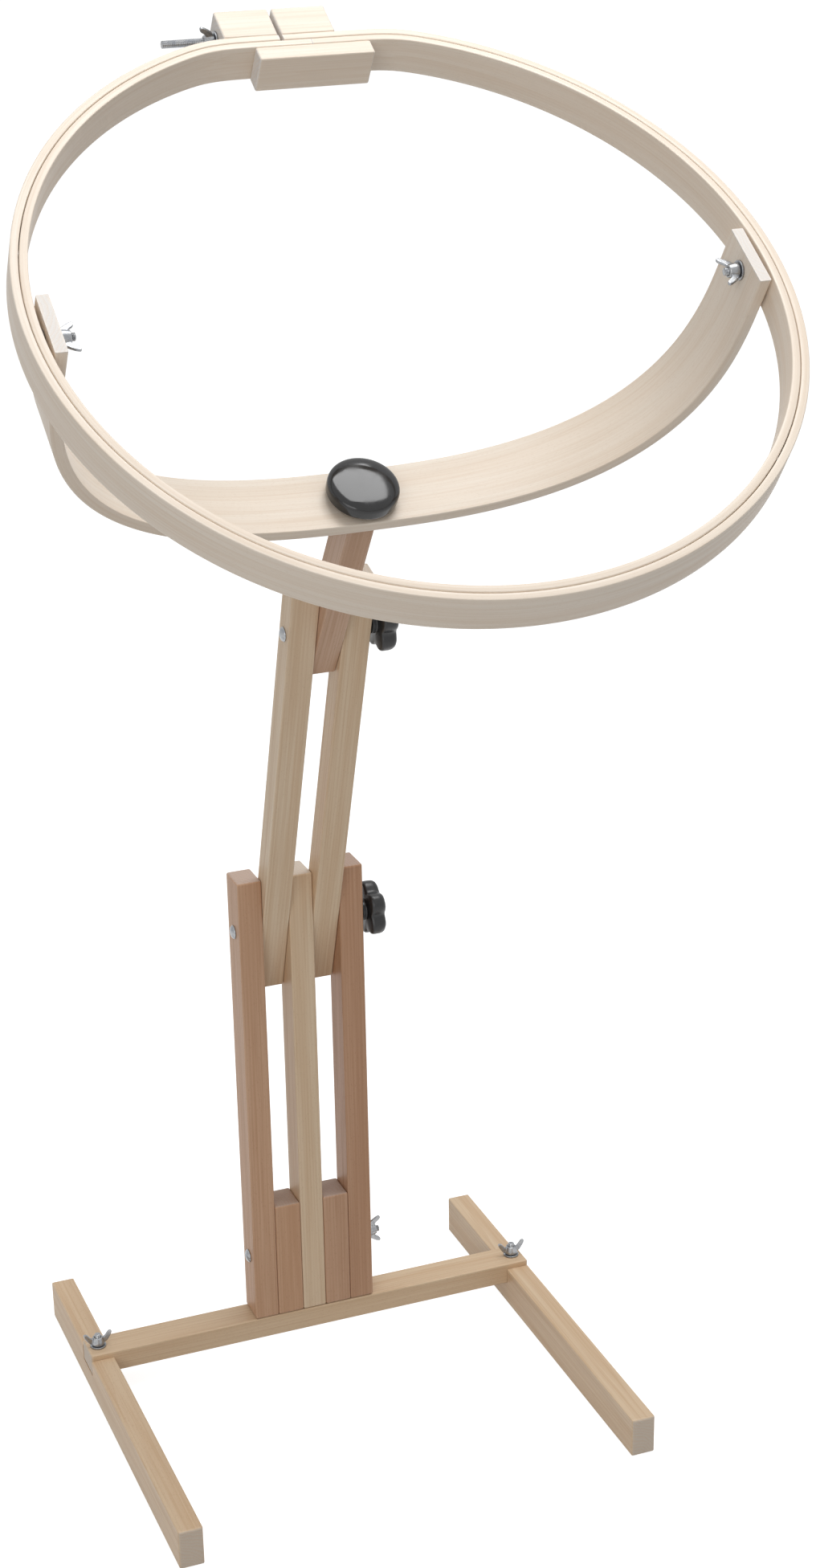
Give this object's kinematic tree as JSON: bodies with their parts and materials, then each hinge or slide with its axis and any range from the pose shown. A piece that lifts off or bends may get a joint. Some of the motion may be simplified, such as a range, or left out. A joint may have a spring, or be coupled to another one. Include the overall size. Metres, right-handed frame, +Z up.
{
  "type": "embroidery hoop on stand",
  "caption": "Floor-standing wooden embroidery hoop: clamped hoop in a bent-wood yoke, carried by a tilting neck and arms on an upright post stack with crossbar and long feet.",
  "frame": {"origin": "on the floor, under the centre of the whole object's box", "axes": "+X along the crossbar to the right, -Y to the front, where the stitcher sits and the feet are longer, +Z up"},
  "size_m": [0.57, 0.683, 1.2269],
  "materials": {
    "pale_wood": "fine sanded, clear satin lacquer",
    "light_wood": "fine sanded, clear satin lacquer",
    "red_wood": "reddish brown, satin",
    "black_plastic": "satin moulded black",
    "gloss_plastic": "polished black",
    "zinc": "bright zinc plate",
    "brass": "turned"
  },
  "bodies": {
    "stand": {"foot_left": "light_wood", "foot_right": "light_wood", "crossbar": "light_wood", "post_left": "red_wood", "post_middle": "light_wood", "post_right": "red_wood", "spacer_left": "red_wood", "spacer_right": "red_wood", "spacer_screw_left": "zinc", "spacer_screw_right": "zinc", "foot_bolt_left": "zinc", "foot_bolt_right": "zinc", "foot_washer_left": "zinc", "foot_washer_right": "zinc", "base_bolt": "zinc", "base_washer": "zinc", "arm_bolt": "zinc", "arm_washer": "zinc"},
    "arms": {"arm_left": "light_wood", "arm_right": "light_wood", "neck_bolt": "zinc", "neck_washer": "zinc"},
    "neck": {"neck": "red_wood", "yoke_stud": "zinc"},
    "yoke": {"yoke": "pale_wood", "yoke_washer": "zinc"},
    "hoop": {"inner_ring": "pale_wood", "joint_block": "pale_wood", "hoop_bolt_left": "zinc", "hoop_bolt_right": "zinc", "hoop_spacer_left": "zinc", "hoop_spacer_right": "zinc", "hoop_washer_left": "zinc", "hoop_washer_right": "zinc"},
    "outer_ring": {"outer_ring": "pale_wood", "clamp_block_left": "pale_wood", "clamp_block_right": "pale_wood", "clamp_bolt": "zinc", "clamp_washer": "zinc"},
    "arm_knob": {"arm_knob": "black_plastic", "arm_knob_insert": "brass"},
    "neck_knob": {"neck_knob": "black_plastic", "neck_knob_insert": "brass"},
    "yoke_knob": {"yoke_knob": "gloss_plastic"},
    "foot_nut_left": {"foot_wing_nut_left": "zinc"},
    "foot_nut_right": {"foot_wing_nut_right": "zinc"},
    "base_nut": {"base_wing_nut": "zinc"},
    "hoop_nut_left": {"hoop_wing_nut_left": "zinc"},
    "hoop_nut_right": {"hoop_wing_nut_right": "zinc"},
    "clamp_nut": {"clamp_wing_nut": "zinc"}
  },
  "joints": [
    {"name": "arm_tilt", "type": "hinge", "parent": "stand", "child": "arms", "pos_m": [0, 0.20749, 0.4398], "axis": [1, 0, 0], "range_deg": [-43, 31]},
    {"name": "neck_tilt", "type": "hinge", "parent": "arms", "child": "neck", "pos_m": [0, 0.10564, 0.74421], "axis": [1, 0, 0], "range_deg": [-60, 60]},
    {"name": "yoke_swivel", "type": "hinge", "parent": "neck", "child": "yoke", "pos_m": [0, 0.02089, 0.86798], "axis": [0, -0.565, 0.8251], "continuous": true},
    {"name": "hoop_tilt", "type": "hinge", "parent": "yoke", "child": "hoop", "pos_m": [0, -0.0984, 1.0422], "axis": [1, 0, 0], "range_deg": [-36, 36]},
    {"name": "outer_ring_lift", "type": "slide", "parent": "hoop", "child": "outer_ring", "axis": [0, -0.565, 0.8251], "range_m": [0, 0.06]},
    {"name": "arm_knob_turn", "type": "hinge", "parent": "stand", "child": "arm_knob", "pos_m": [0.06105, 0.20749, 0.4398], "axis": [1, 0, 0], "continuous": true},
    {"name": "neck_knob_turn", "type": "hinge", "parent": "arms", "child": "neck_knob", "pos_m": [0.03825, 0.10564, 0.74421], "axis": [1, 0, 0], "continuous": true},
    {"name": "yoke_knob_turn", "type": "hinge", "parent": "neck", "child": "yoke_knob", "pos_m": [0, 0.01451, 0.8773], "axis": [0, -0.565, 0.8251], "continuous": true},
    {"name": "foot_nut_left_turn", "type": "hinge", "parent": "stand", "child": "foot_nut_left", "pos_m": [-0.2105, 0.20749, 0.045], "axis": [0, 0, 1], "continuous": true},
    {"name": "foot_nut_right_turn", "type": "hinge", "parent": "stand", "child": "foot_nut_right", "pos_m": [0.2105, 0.20749, 0.045], "axis": [0, 0, 1], "continuous": true},
    {"name": "base_nut_turn", "type": "hinge", "parent": "stand", "child": "base_nut", "pos_m": [0.06105, 0.20749, 0.105], "axis": [1, 0, 0], "continuous": true},
    {"name": "hoop_nut_left_turn", "type": "hinge", "parent": "hoop", "child": "hoop_nut_left", "pos_m": [-0.25731, -0.0984, 1.0422], "axis": [1, 0, 0], "continuous": true},
    {"name": "hoop_nut_right_turn", "type": "hinge", "parent": "hoop", "child": "hoop_nut_right", "pos_m": [0.25731, -0.0984, 1.0422], "axis": [-1, 0, 0], "continuous": true},
    {"name": "clamp_nut_turn", "type": "hinge", "parent": "outer_ring", "child": "clamp_nut", "pos_m": [-0.063, 0.14171, 1.20661], "axis": [-1, 0, 0], "continuous": true}
  ]
}
